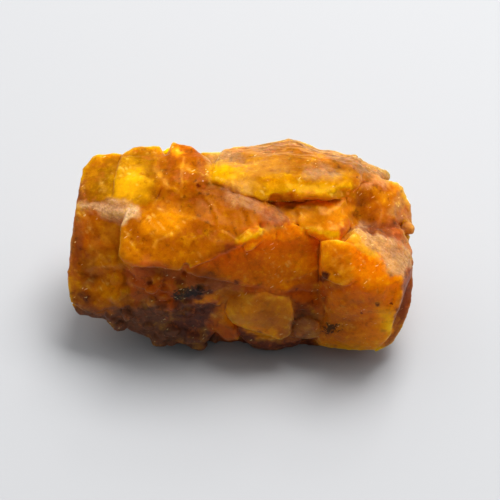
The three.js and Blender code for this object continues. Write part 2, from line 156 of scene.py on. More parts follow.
def addGroup(piece, name, weights):
    group = piece.vertex_groups.new(name=name)
    levels = np.round(weights * weightLevels).astype(int)
    for level in range(1, weightLevels + 1):
        group.add(np.flatnonzero(levels == level).tolist(), level / weightLevels, "REPLACE")


def editCorners(piece, wanted):  # selects corners by their height, in edit mode
    setMode("EDIT")
    bpy.ops.mesh.select_all(action="DESELECT")
    setMode("OBJECT")
    for corner in piece.data.vertices:
        corner.select = wanted(corner.co.z)
    setMode("EDIT")


def dropCrumbs(piece):  # keeps only the shell that reaches highest
    top = max(corner.co.z for corner in piece.data.vertices)
    editCorners(piece, lambda height: height == top)
    bpy.ops.mesh.select_linked()
    bpy.ops.mesh.select_all(action="INVERT")
    bpy.ops.mesh.delete(type="VERT")
    setMode("OBJECT")


def roughStone():  # a copy of the solid with an even mesh
    node = frame["nodes"]["sapphire"]
    piece = bpy.data.objects.new("roughSapphire", node.data.copy())
    bpy.context.scene.collection.objects.link(piece)
    onlyThis(piece)
    setMode("EDIT")
    bpy.ops.mesh.select_all(action="SELECT")
    bpy.ops.mesh.remove_doubles(threshold=stone["weldBelow"])
    setMode("OBJECT")
    piece.data.remesh_voxel_size = stone["voxel"] / metre
    piece.data.remesh_voxel_adaptivity = 0
    bpy.ops.object.voxel_remesh()
    dropCrumbs(piece)
    return piece


def soften(piece, rounds, factor):
    smooth = piece.modifiers.new("soften", "SMOOTH")
    smooth.factor = factor
    smooth.iterations = rounds
    onlyThis(piece)
    bpy.ops.object.modifier_apply(modifier=smooth.name)


def addRelief(piece, name, kind, size, height, depth, where, stretch=(1, 1, 1), turn=0.0, sideways=False):
    texture = bpy.data.textures.new(name, kind)
    texture.noise_scale = 1.0
    if kind == "CLOUDS":
        texture.noise_depth = depth
        texture.noise_basis = "IMPROVED_PERLIN"
    else:
        texture.distance_metric = "DISTANCE_SQUARED"  # round hollows that meet in sharp ridges
    bpy.ops.object.empty_add(location=standing(0, 0, 0))
    grain = bpy.context.object
    lean = Matrix([acrossAxis, upAxis, outAxis]).transposed()
    grain.rotation_euler = (lean @ Matrix.Rotation(math.radians(turn), 3, "Z")).to_euler()
    grain.scale = [size * factor / metre for factor in stretch]
    bpy.context.view_layer.update()
    relief = piece.modifiers.new(name, "DISPLACE")
    relief.texture = texture
    relief.texture_coords = "OBJECT"
    relief.texture_coords_object = grain
    relief.direction = "RGB_TO_XYZ" if sideways else "NORMAL"
    relief.strength = height / metre
    relief.mid_level = 0.5
    if where != "all":
        if where not in piece.vertex_groups:
            addGroup(piece, where, nearness(facePlaces(piece), places[where]))
        relief.vertex_group = where
    onlyThis(piece)
    bpy.ops.object.modifier_apply(modifier=relief.name)
    bpy.data.objects.remove(grain)
    bpy.data.textures.remove(texture)


def breakSteps(piece):  # each step stands up along a short curved line and slopes away behind it
    dice = np.random.default_rng(steps["seed"])
    at = readCorners(piece, "co")
    normals = readCorners(piece, "normal")
    lift = np.zeros(len(at))
    for middle in dice.choice(len(at), steps["count"], replace=False):
        length, width, height = (dice.uniform(*steps[name]) for name in ("length", "width", "height"))
        along = np.cross(normals[middle], dice.normal(size=3))
        along /= np.linalg.norm(along)
        behind = np.cross(normals[middle], along)
        apart = at - at[middle]
        near = np.flatnonzero(np.linalg.norm(apart, axis=1) < length + width)
        run = apart[near] @ along / length
        back = (apart[near] @ behind + dice.uniform(-1, 1) * steps["curl"] * length * run ** 2) / width
        slope = np.where(back > 0, 1 - back, 1 + back * steps["front"]).clip(0, 1)
        facing = (normals[near] @ normals[middle]).clip(0, 1)
        lift[near] += height * slope * (1 - run ** 2).clip(0, 1) * facing * dice.choice([-1, 1])
    moveCorners(piece, at + normals * lift[:, None])


def fillPits(piece):  # lifts the floors of narrow pits
    rounds, depth = stone["fillPits"]
    before, normals = readCorners(piece, "co"), readCorners(piece, "normal")
    soften(piece, rounds, stone["smoothBy"])
    after = readCorners(piece, "co")
    pit = ((after - before) * normals).sum(axis=1)
    moveCorners(piece, before + normals * (pit - depth).clip(0)[:, None])


def flattenUnderside(piece):  # brings the lowest corners down to the floor
    onlyThis(piece)
    editCorners(piece, lambda height: height < stone["flatBelow"] / metre)
    bpy.ops.transform.resize(value=(1, 1, 0), center_override=(0, 0, 0))
    setMode("OBJECT")


def makeStone():
    piece = roughStone()
    fillPits(piece)
    soften(piece, stone["softening"], stone["smoothBy"])
    paintZones(piece)
    for name, relief in reliefs.items():
        addRelief(piece, name, **relief)
    breakSteps(piece)
    soften(piece, *stone["lastSoftening"])
    flattenUnderside(piece)
    onlyThis(piece)
    bpy.ops.object.shade_smooth()
    piece.vertex_groups.clear()
    print("stone:", len(piece.data.polygons), "faces")
    return piece


def colour(red, green, blue):  # from screen values, 0 to 255, to the light they stand for
    def light(value):
        value = value / 255
        return value / 12.92 if value <= 0.04045 else ((value + 0.055) / 1.055) ** 2.4

    return (light(red), light(green), light(blue), 1)


corundum = {
    "index": 1.76,
    "shine": 0.1,  # a broken surface returns less light than a polished one
    "shineTint": (1.0, 0.5, 0.15, 1),
    "brightness": (1.6, 1.15, 0.3),  # how much paler light inside makes red, green and blue
    "bodyColours": [  # from the deep parts to the pale ones
        (-0.5, colour(104, 38, 4)),
        (-0.1, colour(142, 58, 4)),
        (0.15, colour(162, 72, 4)),
        (0.6, colour(184, 94, 6)),
    ],
    "bodyDrift": 6.0,  # millimetres across its mottles
    "bodyFractal": (0.7, 2.0, 4),  # their roughness, the step to finer ones, and how many steps
    "paleFrom": (0.02, 0.2),  # the body's green light where it starts to look pale, and where it fully does
    "glow": (1.0, 0.78, 0.18),  # how far red, green and blue light travel inside
    "glowDepth": 10.0,  # millimetres
    "glowShare": 0.9,
    "clearness": 0.1,  # how much of the light passes straight through
    "clearRoughness": 0.22,
    "insideColour": (0.95, 0.78, 0.01, 1),
    "insideDensity": 230.0,
    "frost": 0.08,  # how frosted the broken surface is away from the face
}

palette = {  # the tints that light takes inside the stone, from the clearest yellow to the darkest rind
    "lemon": (176, 138, 2),
    "sunny": (250, 172, 4),
    "gold": (158, 116, 2),
    "straw": (114, 84, 2),
    "honey": (120, 80, 2),
    "amber": (116, 64, 2),
    "marmalade": (142, 84, 2),
    "tangerine": (198, 108, 3),
    "apricot": (212, 124, 3),
    "ochre": (170, 104, 12),
    "paleOchre": (204, 126, 16),
    "rust": (168, 76, 6),
    "chestnut": (88, 36, 8),
    "umber": (72, 38, 40),
    "plum": (72, 36, 46),
    "pitch": (24, 10, 8),
    "sand": (68, 42, 6),
    # a bluish white, a painted sheen on the frosted ledge
    "chalk": (128, 132, 180),
}

# A colour of the palette, how soft its edge is in millimetres, its strength, how clear the stone is there
# where that differs, how frosted it is (partly painted sheen), how far it stands out in millimetres, and its
# outline.
zones = {
    "topLeft": ("honey", 0.7, 0.95, 0.08, 0, 0, [(-25, 5.9), (-25, 8), (-24.4, 10.6), (-23.4, 13.4),
        (-21.1, 14.9), (-18.7, 14.1), (-16.7, 15.3), (-14.8, 15.7), (-12, 15.7), (-10.2, 15.9),
        (-10.2, 10), (-10, 7.1), (-12, 6.3), (-14.2, 5.5), (-15.2, 5.9), (-17.3, 6.5), (-18.7, 6.7),
        (-20.5, 6.1), (-23.6, 6.1)]),
    "betweenLumps": ("marmalade", 1.0, 0.8, None, 0, 0, [(-13.2, 15.7), (-10, 15.7), (-10.2, 10),
        (-10, 7.1), (-12, 6.3), (-13.6, 5.9), (-12.4, 7.5), (-12, 10), (-12.4, 13)]),
    "topLeftYellow": ("straw", 2.0, 0.9, 0.08, 0, 0, [(-21, 9), (-20.5, 11.5), (-18, 13.4), (-15, 14),
        (-13.2, 13.4), (-12.4, 11), (-12.6, 8.4), (-13.6, 6.4), (-15.6, 6.4), (-18, 7.4), (-20, 7.8)]),
    "lump": ("amber", 0.4, 0.95, 0.08, 0, 0.15, [(-10.4, 13.8), (-10, 16.1), (-7.1, 15.7),
        (-5.3, 13.8), (-4.5, 11.7), (-4.7, 9.4), (-5.7, 8), (-6.7, 6.9), (-8.3, 6.4), (-10, 7.1),
        (-10.5, 10)]),
    "lumpBand": ("marmalade", 0.9, 0.6, None, 0, 0, [(-8.9, 13), (-7.3, 13), (-7, 7.3), (-8.7, 7.1)]),
    "slab": ("honey", 0.3, 0.95, 0.08, 0, 0.1, [(-2.4, 14.9), (0.8, 15.3), (3.9, 15.7),
        (7.2, 16.5), (9.4, 16.3), (12.4, 15.4), (16.1, 14.9), (18.7, 13.4), (22.4, 11.2), (22.4, 9.8),
        (20.4, 9.6), (17.3, 9.4), (16.1, 7.1), (15.1, 7.1), (10, 7.4), (7.6, 7.6), (4.3, 6.9), (3.7, 6.2),
        (2.5, 6.5), (-1.6, 8), (-2.8, 8.4), (-4.2, 10)]),
    "slabBand": ("sand", 0.5, 0.85, 0.05, 0.3, 0, [(0.4, 14.9), (3.9, 15.5), (7.2, 16.5),
        (9.4, 16.3), (12.4, 15.4), (16.1, 14.9), (18.7, 13.4), (22.4, 11.2), (22.4, 9.8), (20, 10.2),
        (17.9, 10.8), (15.9, 11.8), (12.6, 13.2), (9, 14), (6.1, 14.2), (3.3, 13.4)]),
    "slabGrain": ("gold", 1.0, 0.6, 0.05, 0.25, 0, [(-1.6, 12), (0.8, 13), (3.7, 12.6), (6.9, 12),
        (6.9, 10.8), (3.5, 10.2), (0.4, 10), (-1.6, 10.2)]),
    "slabFront": ("gold", 0.7, 0.97, 0.08, 0, 0.2, [(1, 9.4), (4.1, 10), (7.4, 10.2), (12.6, 10.3),
        (15.3, 10), (16.1, 8.6), (16.1, 7.1), (15.1, 7.1), (10, 7.4), (7.6, 7.6), (4.3, 6.9), (3.7, 6.2),
        (2.1, 6.7), (0.4, 8.4)]),
    "slabGlow": ("lemon", 0.9, 0.9, 0.08, 0, 0, [(7.4, 9), (10.6, 9.2), (13.9, 8.6), (15.3, 7.7),
        (15.1, 7.1), (10, 7.4), (7.6, 7.7)]),
    "slabPink": ("sand", 0.7, 0.8, 0.05, 0.6, 0, [(9.5, 10.8), (11.4, 11.2), (13.5, 11),
        (13.9, 10.2), (11.8, 10), (10.4, 10.2)]),
    "slabEnd": ("lemon", 0.9, 0.95, 0.08, 0, 0.15, [(-4.6, 11.7), (-3.9, 12.3), (-1.8, 12.3),
        (-0.6, 11.5), (-0.3, 9.4), (-1.6, 8.2), (-3.3, 8.9), (-4.5, 9.5)]),
    "slabEndFrost": ("sand", 0.5, 0.8, 0.05, 0.5, 0, [(-5.1, 12.8), (-3.3, 13.8), (-1.8, 14.9),
        (0.4, 14.7), (0.2, 12.6), (-1.2, 12.3), (-3.9, 12.4), (-4.6, 11.8)]),
    "slabEndSide": ("lemon", 0.7, 0.7, 0.08, 0.5, 0, [(-2, 8.2), (-0.6, 9.4), (1.3, 9.2), (1.3, 7.5),
        (0, 7.3)]),
    "slabLobe": ("ochre", 0.7, 0.9, 0.08, 0, 0, [(-2.2, 14.9), (-0.6, 15.1), (0.2, 14.5), (0, 14),
        (-1.8, 14)]),
    "recess": ("ochre", 0.3, 0.95, 0.1, 0, -0.35, [(3.8, 6.1), (4.5, 6.9), (7.8, 7.6), (8, 5.9),
        (8.4, 4.7), (7.4, 3.7), (6.1, 4.3), (3.9, 5.3)]),
    "recessCrystal": ("paleOchre", 0.35, 0.9, 0.2, 0, 0.05, [(7.6, 7.5), (10, 7.4), (15.1, 7.1),
        (16.1, 7.1), (15.7, 5.5), (14.7, 3.9), (14.1, 2.1), (13.5, 1.1), (11.6, 1.1), (9.8, 2.1),
        (8.2, 3.3), (8.4, 4.7), (7.7, 5.9)]),
    "recessHeart": ("marmalade", 1.0, 0.7, None, 0, 0, [(9.8, 5.7), (11.4, 5.9), (12.4, 4.7),
        (11.6, 3.1), (10.2, 3.9)]),
    "recessYellow": ("lemon", 0.35, 0.95, 0.15, 0, 0.15, [(8.2, 3.2), (9.8, 2.6), (11.4, 2.2),
        (13.9, 2.2), (13.5, 1.1), (11.6, 1), (9.8, 1.7)]),
    "centre": ("amber", 0.5, 0.95, 0.08, 0, 0, [(-17.1, 3.1), (-14.2, 5.4), (-10, 6.5), (-6.7, 6.7),
        (-4.7, 9), (-3.3, 8.9), (-1.6, 8.2), (1.3, 5.9), (2.2, 3.9), (0.2, 1.9), (1.3, 0.6), (-2.8, 0.5),
        (-5.1, -2.2), (-7.1, -3.4), (-9.4, -3.5), (-12, -2.8), (-13.6, -2.2), (-16.3, -3.1),
        (-16.9, -0.2)]),
    "centreRight": ("marmalade", 1.0, 0.9, 0.08, 0, 0, [(-1.6, 5.9), (-0.4, 5.7), (2.3, 5), (3.7, 3.9),
        (2.5, 3.1), (0.8, 2.1), (-0.4, 1), (-1.6, 0.8), (-4.2, 1.9), (-5.5, 3.9), (-3.6, 5.9)]),
    "centreLow": ("ochre", 1.2, 0.7, 0.08, 0, 0, [(-14.8, 0.2), (-7.9, 0.2), (-3.9, 0), (-5.1, -2.2),
        (-7.1, -3.4), (-9.4, -3.5), (-12, -2.8), (-13.6, -2.2)]),
    "bevel": ("ochre", 0.5, 0.85, 0.08, 0, 0.1, [(-17.2, 2.9), (-16.5, 3.1), (-14.8, -1.4),
        (-14, -2), (-16.3, -3.1), (-16.9, -1.2)]),
    # frosted, with a painted highlight along the ridge
    "ridgeFrost": ("amber", 0.5, 0.85, 0.05, 0.6, 0.1, [(-2.2, 8), (0.2, 7.1), (2.3, 5.9),
        (3.3, 5.4), (2.3, 5), (-0.4, 5.7), (-1.4, 5.9)]),
    "ridgeFrostLow": ("chestnut", 0.5, 0.8, 0.08, 0.3, 0, [(2.7, 5.1), (4.3, 5), (6.1, 4.8), (6.9, 3.9),
        (5.1, 3.8), (3.7, 4)]),
    "tooth": ("lemon", 0.3, 0.95, 0.08, 0, 0.2, [(2.8, 2.7), (3, 1.9), (2.3, 0), (0.8, -0.1),
        (0.1, 0.5), (1.5, 1.5)]),
    "toothStrip": ("straw", 0.35, 0.8, 0.08, 0.05, 0, [(3.1, 2.3), (4.5, 3.1), (6.3, 2.9), (5.1, 2.1),
        (2.9, 1)]),
    "shaded": ("tangerine", 0.4, 0.95, 0.1, 0, -0.1, [(-7.2, -2.9), (-3, -1.2), (0.6, 0), (2.5, 0.9),
        (6.1, 2.8), (8, 3.1), (9.8, 1.9), (11.6, 1), (11.7, -2.2), (11, -3.7), (9.8, -5.5), (5.1, -5.9),
        (0.4, -5.1), (-5.7, -5), (-8.1, -3.4)]),
    "crevice": ("tangerine", 0.7, 0.9, 0.08, 0, -0.25, [(10.4, 0.9), (11.6, 0.9), (11.7, -3.4),
        (10.6, -4.3), (9.6, -3.4)]),
    "brown": ("rust", 0.9, 0.9, 0.08, 0, -0.1, [(9.8, -5.5), (11.4, -4), (12.6, -4.3), (13.5, -5.7),
        (12.6, -6.9), (11.4, -8.3), (10.6, -10.4), (8.2, -10.4), (7.6, -8.7), (7.2, -6.7)]),
    "brownDeep": ("chestnut", 0.5, 0.9, 0.08, 0, 0, [(8.2, -8.3), (10.6, -8.5), (11, -10.1), (9.8, -11),
        (8, -10.1)]),
    "block": ("tangerine", 0.45, 0.95, 0.1, 0, 0, [(11.6, 0.9), (13.5, 1), (15.3, 1.4), (16.7, -0.2),
        (18.9, -1.4), (20, -1.6), (21.4, -3.4), (23.4, -4), (23.2, -6.3), (22.6, -9.3), (21.8, -12.4),
        (20.4, -15.2), (16.7, -16.5), (11.4, -16.5), (10.4, -13.2), (11, -10.4), (12.6, -6.9),
        (13.5, -5.7), (12.6, -4.3), (11.6, -2.8)]),
    "blockYellow": ("apricot", 1.2, 0.85, 0.12, 0, 0, [(20.4, -3), (23.2, -4.3), (22.8, -8.3),
        (21.8, -12), (18.7, -14.8), (16.7, -13.2), (19.6, -10.4), (20, -6.3)]),
    "blockSpot": ("sunny", 0.9, 1, 0.08, 0, 0, [(19.9, -9.1), (21.8, -9.5), (21.8, -12.2),
        (20.1, -12)]),
    "blockLow": ("apricot", 1.2, 0.7, None, 0, 0, [(11.8, -11.2), (16.7, -11), (18.7, -14.4),
        (16.7, -16.5), (11.4, -16.5)]),
    "plate": ("ochre", 0.6, 0.85, 0.15, 0, 0.08, [(11.9, 0.8), (15.1, 0.1), (16, -2.2), (16.1, -4.9),
        (14.7, -5.8), (13, -5.5), (11.6, -3)]),
    "rough": ("sand", 0.5, 0.95, 0.03, 0.75, 0, [(16.1, 2.5), (17.9, 3.1), (20.8, 1.9),
        (22.8, -0.2), (24.6, -0.8), (24.6, -2.8), (23.4, -4), (21.8, -3.7), (20, -1.6), (19, -1.3),
        (17.5, 0.5)]),
    "roughHoles": ("chestnut", 0.5, 0.9, 0.03, 0.05, -0.2, [(17.9, 2.7), (20.4, 2.6), (22.4, 1),
        (21.2, 0.9), (18.9, 1.5)]),
    "strip": ("gold", 0.4, 1, 0.08, 0.1, 0.1, [(15, 1.4), (16.1, 2.4), (17.5, 0.6), (18.9, -0.6),
        (19, -1.5), (17.3, -0.9)]),
    "shoulder": ("marmalade", 0.5, 0.92, 0.08, 0, 0, [(16.1, 9.2), (20.4, 9.4), (22.4, 8.8), (22.8, 6.3),
        (22.4, 3.9), (20.8, 3.1), (17.9, 3.3), (15.7, 2.7), (14.7, 3.9), (15.7, 5.5), (16.1, 7.1)]),
    "rim": ("amber", 0.5, 0.9, 0.05, 0.25, 0, [(21.8, 10.2), (24.4, 8.6), (26.1, 5.5), (26.1, 3.1),
        (26.1, 0.2), (24.6, -0.8), (22.8, 0), (23.6, 1.9), (22.8, 3.9), (22.8, 6.3), (22.4, 9)]),
    "rimYellow": ("straw", 0.7, 0.7, 0.08, 0.4, 0, [(22.6, 8.6), (23.8, 8), (24.2, 5.9), (22.6, 4.7),
        (21.6, 4.9), (22.8, 6.9)]),
    "pinkLump": ("sand", 0.5, 0.9, 0.03, 0.4, 0.1, [(17.9, 13), (20, 12.4), (22.6, 11.2),
        (22.6, 10), (20, 10.2), (18.9, 10.6), (17.7, 11.4)]),
    "pinkLow": ("marmalade", 0.5, 0.8, 0.05, 0.8, 0, [(17.3, 9.2), (18.7, 9.5), (21, 9.4), (20.8, 9),
        (17.9, 8.6)]),
    "flank": ("chestnut", 0.4, 0.9, 0.03, 0.05, 0, [(24.6, -0.8), (26.1, -1.4), (26.1, -6.3),
        (25, -10.4), (23.6, -13.4), (21.6, -16.5), (20.4, -14.8), (22, -12.4), (22.8, -8.3), (23.4, -4.3),
        (24.6, -2.8)]),
    "matrixUpper": ("rust", 0.6, 0.93, 0.08, 0.15, 0, [(-17.1, -3.2), (-13.6, -2.3), (-9.4, -3.6),
        (-5.1, -4.3), (-3.9, -4.9), (0, -5.1), (0, -6.3), (-1.8, -7.3), (-2.6, -8.5), (-4.1, -10.1),
        (-10, -10.4), (-14.8, -8.5), (-16.1, -8.1), (-16.7, -5.5)]),
    "redBrown": ("rust", 0.9, 0.8, 0.08, 0, 0, [(-13.2, -3.8), (-10, -4.5), (-9.4, -6.3),
        (-10, -8.3), (-12, -7.3), (-13.6, -6.3)]),
    "matrix": ("umber", 0.6, 0.97, 0.02, 0.1, 0, [(-25.8, -8.3), (-20.1, -9.3), (-16.1, -8.3),
        (-13.6, -8.3), (-10, -8.9), (-8.3, -8.3), (-4.3, -8.9), (-3.9, -11), (-3.4, -13.4), (-3.0, -18),
        (-12, -18), (-20, -15), (-27, -13)]),
    "plum": ("plum", 0.9, 0.9, 0.02, 0, 0, [(-10, -8.9), (-4.3, -8.9), (-4.3, -12.8), (-5.9, -13.6),
        (-8.7, -12.8), (-10, -11)]),
    "inclusion": ("umber", 0.5, 1, 0, 0, 0.1, [(-9.6, -6.9), (-6.9, -6.1), (-4.3, -6.1), (-4.1, -6.5),
        (-6.3, -7.9), (-9.1, -8.3), (-9.7, -7.7)]),
    "inclusionSpot": ("chestnut", 0.5, 0.95, 0, 0, 0, [(-9, -4.5), (-8.2, -4.5), (-8, -5.9),
        (-8.9, -5.9)]),
    "vein": ("apricot", 0.3, 0.9, 0.08, 0.3, 0, [(-6.5, -8.1), (-3.9, -6.5), (-1.6, -5.9), (-3.7, -7.1),
        (-5.7, -8.1)]),
    "column": ("ochre", 0.5, 0.95, 0.3, 0, -0.15, [(-25.8, 5.9), (-22, 5.5), (-17.3, 3.9),
        (-17.1, -2.2), (-17.1, -5.5), (-16.1, -8.1), (-18.5, -8.9), (-20.1, -9.1), (-25.8, -8.3)]),
    "columnDeep": ("rust", 1.2, 0.8, 0.3, 0, 0, [(-22.8, 1.9), (-20.1, 1), (-19.3, -0.2),
        (-21.4, -1.2), (-23.2, 0.2)]),
    "columnOchre": ("paleOchre", 0.9, 0.8, 0.25, 0, 0, [(-20.7, -2.6), (-17.3, -2.2), (-17.1, -5.9),
        (-18.1, -7.5), (-20.5, -7.5), (-21.1, -5.1)]),
    "columnLow": ("umber", 0.9, 0.8, 0.08, 0, 0, [(-25.8, -6.3), (-22.6, -6.9), (-21.4, -8.9),
        (-25.8, -8.3)]),
    "leftRim": ("chestnut", 0.5, 0.8, 0.05, 0.1, 0, [(-27, 10), (-22.6, 9.5), (-22.7, 5), (-23.1, 0),
        (-23.8, -4), (-24.4, -8.5), (-27, -9)]),
    "ledge": ("sand", 0.5, 0.92, 0.03, 1, 0.1, [(-23.6, 6.1), (-20.5, 6.1), (-18.5, 6.7),
        (-16.7, 5.9), (-14.8, 5.3), (-14.6, 4.7), (-16.5, 3.7), (-18.5, 4.1), (-20.1, 4.7), (-22, 5.3),
        (-23.6, 5.7)]),
    # frosted, with painted white glints on the ledge
    "ledgeWhite": ("chalk", 0.5, 0.95, 0, 1, 0.1, [(-17.3, 4.5), (-16.1, 5.3), (-14.8, 5),
        (-15.2, 4.1), (-16.3, 3.4), (-17.1, 3.7)]),
    "crystal": ("paleOchre", 0.8, 0.93, 0.4, 0.12, 0.05, [(-3.6, -6.9), (-1.6, -6.7), (0.8, -6.9),
        (5.7, -6.9), (6.9, -8.3), (7.4, -11.2), (6.9, -13.2), (5.1, -13.4), (2.1, -12.4), (-0.4, -11.4),
        (-2.4, -11.4), (-3.8, -9.9), (-3, -8.3)]),
    "crystalEdge": ("apricot", 0.3, 0.93, 0.2, 0, 0.1, [(-2.7, -8.7), (-1.8, -10.8), (0, -11.3),
        (1.3, -11.7), (4.9, -12.2), (7.7, -13.2), (7.7, -13.6), (4.3, -12.9), (1.3, -12.1), (0, -12.2),
        (-2.2, -11.3), (-2.9, -9.5)]),
    "bud": ("rust", 0.5, 0.9, 0.3, 0, 0.15, [(-4.1, -10.4), (-2.4, -11.3), (-0.2, -12.2),
        (-0.8, -13.2), (-2.4, -13.6), (-3.5, -12.8), (-4.1, -11.8)]),
    "crumbs": ("chestnut", 0.5, 0.8, 0.05, 0.2, 0, [(5.3, -12.4), (7.4, -11.4), (7.6, -13.4),
        (5.7, -13.6)]),
    "grey": ("chestnut", 0.7, 0.85, 0.25, 0.35, 0, [(7.4, -11.2), (9.8, -10.1), (11.4, -10.4),
        (11, -13.2), (8.6, -13.4), (7.6, -12.8)]),
    "foot": ("plum", 0.5, 0.93, 0.05, 0, 0, [(-0.2, -12.1), (5.1, -13.7), (7.4, -13.8),
        (10.6, -13.4), (11.4, -17.3), (6.5, -17.3), (2.5, -16.9), (-0.4, -14.4)]),
    "blackSpot": ("pitch", 0.2, 1, 0, 0, -0.2, [(11.3, -3.9), (12.1, -4), (12.1, -4.8), (11.4, -4.7)]),
}
rind = {  # the brown rock that grips the stone's left foot, in millimetres in the standing stone
    "tint": "umber",
    "tints": ("umber", "plum", "pitch"),  # of the palette, where no light passes
    "height": (9.0, 5.0),  # gone above the first, full below the second
    "reach": (3.0, -7.0),  # gone to the right of the first, full to the left of the second
    "strength": 0.9,
}
zoneDepth = (-21.0, -18.0)  # where zones fade away inside the stone
outlineEdge = (0.3, 0.1)  # millimetres that an edge goes past its softness outside, and stops short inside
reliefEdge = 0.3  # millimetres, the softest edge of a zone that stands out
reliefFacing = (0.1, 0.5)  # how squarely a corner faces out before zones start to rise, and fully rise

wanders = {  # how edges stray from where they are given: wavelengths and reaches in millimetres
    "standing": ((1.3, 0.3), (0.5, 0.16)),
    "tinted": ((3.4, 0.7), (1.3, 0.6), (0.5, 0.35)),
    "crackGlintPlaces": ((1.6, 0.25),),
    "rind": ((2.4, 2.0),),
}

spots = {  # a colour, its middle and radii on the face, its turn, how soft its edge is, and its strength
    "paleHeart": ((250, 196, 40), (-15.9, 9.0), (2.2, 2.4), 0, 0.9, 0.5),
    "leftTopEdge": ((150, 86, 4), (-20.5, 13.4), (3.6, 1.0), 14, 0.9, 0.6),
    "lumpTop": ((240, 160, 40), (-9.4, 13.8), (1.0, 0.6), 0, 0.8, 0.6),
    "centreGlow": ((226, 150, 8), (-11.0, 3.6), (3.4, 2.2), 0, 0.8, 0.6),
    "columnTop": ((176, 100, 10), (-21.6, 3.4), (1.6, 1.6), 0, 0.8, 0.6),
    # painted sheen: pale whitish reflections on the glassy left column
    "columnPaintedSheen": ((206, 146, 70), (-20.8, -0.1), (1.1, 1.5), -30, 1.0, 0.4),
    "columnLowPaintedSheen": ((206, 146, 70), (-22.4, -4.3), (1.3, 1.0), 30, 1.0, 0.35),
    "shadedTop": ((168, 84, 10), (9.0, 0.6), (3.0, 1.8), 0, 0.8, 0.5),
    "shadedLow": ((200, 98, 6), (-1.0, -2.6), (4.0, 1.6), 0, 0.8, 0.5),
    "shoulderDeep": ((150, 74, 4), (18.6, 5.2), (1.8, 1.4), 0, 1.0, 0.35),
    "redTrace": ((150, 66, 4), (10.0, -4.6), (4.0, 0.8), -10, 1.0, 0.35),
    "shoulderFoot": ((84, 40, 10), (21.8, 2.3), (2.8, 1.4), -8, 1.0, 0.65),
    # painted shade under the slab's overhang
    "underSlabPaintedShade": ((96, 44, 6), (9.6, 6.6), (5.6, 0.6), 0, 1.0, 0.45),
    "shadedRidge": ((136, 74, 6), (5.7, 2.3), (3.4, 0.9), 12, 1.0, 0.35),
    "smokyLeft": ((74, 34, 8), (-11.4, -3.5), (1.8, 1.0), 0, 1.0, 0.55),
    "smokyRight": ((64, 28, 8), (-4.6, -5.0), (3.0, 1.2), -14, 1.0, 0.6),
    "smokyFoot": ((60, 26, 10), (-13.4, -7.4), (2.4, 1.0), 10, 1.0, 0.5),
    "thicketShade": ((104, 40, 6), (13.4, -11.6), (2.6, 2.0), 0, 1.0, 0.6),
    "columnShade": ((96, 44, 8), (-22.9, -5.6), (2.2, 3.2), 0, 1.0, 0.6),
    # painted sheen on the glassy left column
    "columnHighPaintedSheen": ((206, 146, 70), (-18.6, 2.4), (1.2, 0.9), 20, 1.0, 0.3),
    "crystalTop": ((120, 66, 6), (1.6, -7.8), (2.4, 1.0), 0, 1.0, 0.4),
    "crystalDeep": ((128, 72, 6), (4.2, -9.6), (2.0, 1.8), 0, 0.8, 0.6),
}

strokes = {  # pale healed cracks, partly painted glints along them: two ends on the face and half the width
    "topLong": ((-12.3, 11.4), (-11.7, 9.9), 0.16),
    "topShort": ((-11.2, 9.4), (-10.5, 8.4), 0.2),
    "leftFlash": ((-20.5, 9.5), (-19.7, 8.0), 0.18),
    "leftArc": ((-22.6, 4.4), (-21.4, 2.0), 0.14),
    "centreFirst": ((-13.1, 3.4), (-12.0, 2.4), 0.1),
    "centreSecond": ((-12.0, 0.8), (-10.1, 1.5), 0.12),
    "centreThird": ((-12.6, -0.2), (-12.0, 0.7), 0.12),
    "columnArc": ((-22.0, -2.6), (-20.4, -1.2), 0.14),
    "columnLow": ((-20.8, -0.6), (-19.2, -2.2), 0.12),
    "plateArc": ((14.4, -5.4), (16.0, -4.8), 0.12),
    "crystalArc": ((-0.2, -7.3), (1.0, -7.5), 0.12),
    "crystalTopArc": ((1.5, -7.4), (2.6, -7.2), 0.14),
    "crystalRightArc": ((3.6, -7.7), (4.7, -7.6), 0.14),
    "crystalSide": ((-1.7, -8.8), (-1.0, -10.2), 0.14),
    "plateTop": ((13.2, -2.0), (14.2, -1.6), 0.16),
    "plateSide": ((14.4, -3.0), (14.0, -4.0), 0.16),
    "lumpLine": ((-8.4, 12.6), (-8.5, 8.6), 0.1),
}
# the pale tint of the healed cracks, partly a painted glint
crackGlint = {
    "tint": (244, 196, 140),
    "reach": 3.2,  # half widths, to where a crack fades away
    "strength": 0.15,
}

noise.seed_set(stone["wanderSeed"])  # the clock seeds it otherwise


def wobble(at, size, reach):  # a smooth wander of every place
    return np.array([noise.noise_vector(place) for place in at / size]) * reach


def astray(place, at, name):  # moved by the wander of that name
    for size, reach in wanders[name]:
        place = place + wobble(at, size, reach)
    return place


def ramp(value, low, high):  # a smooth rise from 0 at low to 1 at high
    share = ((value - low) / (high - low)).clip(0, 1)
    return share * share * (3 - 2 * share)


def inEllipse(at, middle, radii, turned, soft):  # 1 inside an ellipse, 0 outside
    apart = at - np.array(middle)
    cosine, sine = math.cos(math.radians(turned)), math.sin(math.radians(turned))
    own = np.column_stack([apart @ (cosine, sine), apart @ (-sine, cosine)]) / np.array(radii)
    return ramp(np.linalg.norm(own, axis=1), 1 + soft, 1 - soft)


def awayFrom(at, first, second):  # how far places lie from a straight line between two others
    side = np.subtract(second, first)
    along = ((at - first) @ side / (side @ side)).clip(0, 1)
    return np.linalg.norm(at - first - along[:, None] * side, axis=1)


def inOutline(at, outline, soft):  # 1 inside an outline, 0 outside
    corners = np.array(outline)
    inside = np.zeros(len(at), bool)
    apart = np.full(len(at), np.inf)
    for first, second in zip(corners, np.roll(corners, -1, axis=0)):
        apart = np.minimum(apart, awayFrom(at, first, second))
        if first[1] != second[1]:
            crossing = first[0] + (at[:, 1] - first[1]) * (second[0] - first[0]) / (second[1] - first[1])
            inside ^= ((first[1] > at[:, 1]) != (second[1] > at[:, 1])) & (at[:, 0] < crossing)
    outer, inner = outlineEdge
    return ramp(np.where(inside, apart, -apart), -soft - outer, soft - inner)


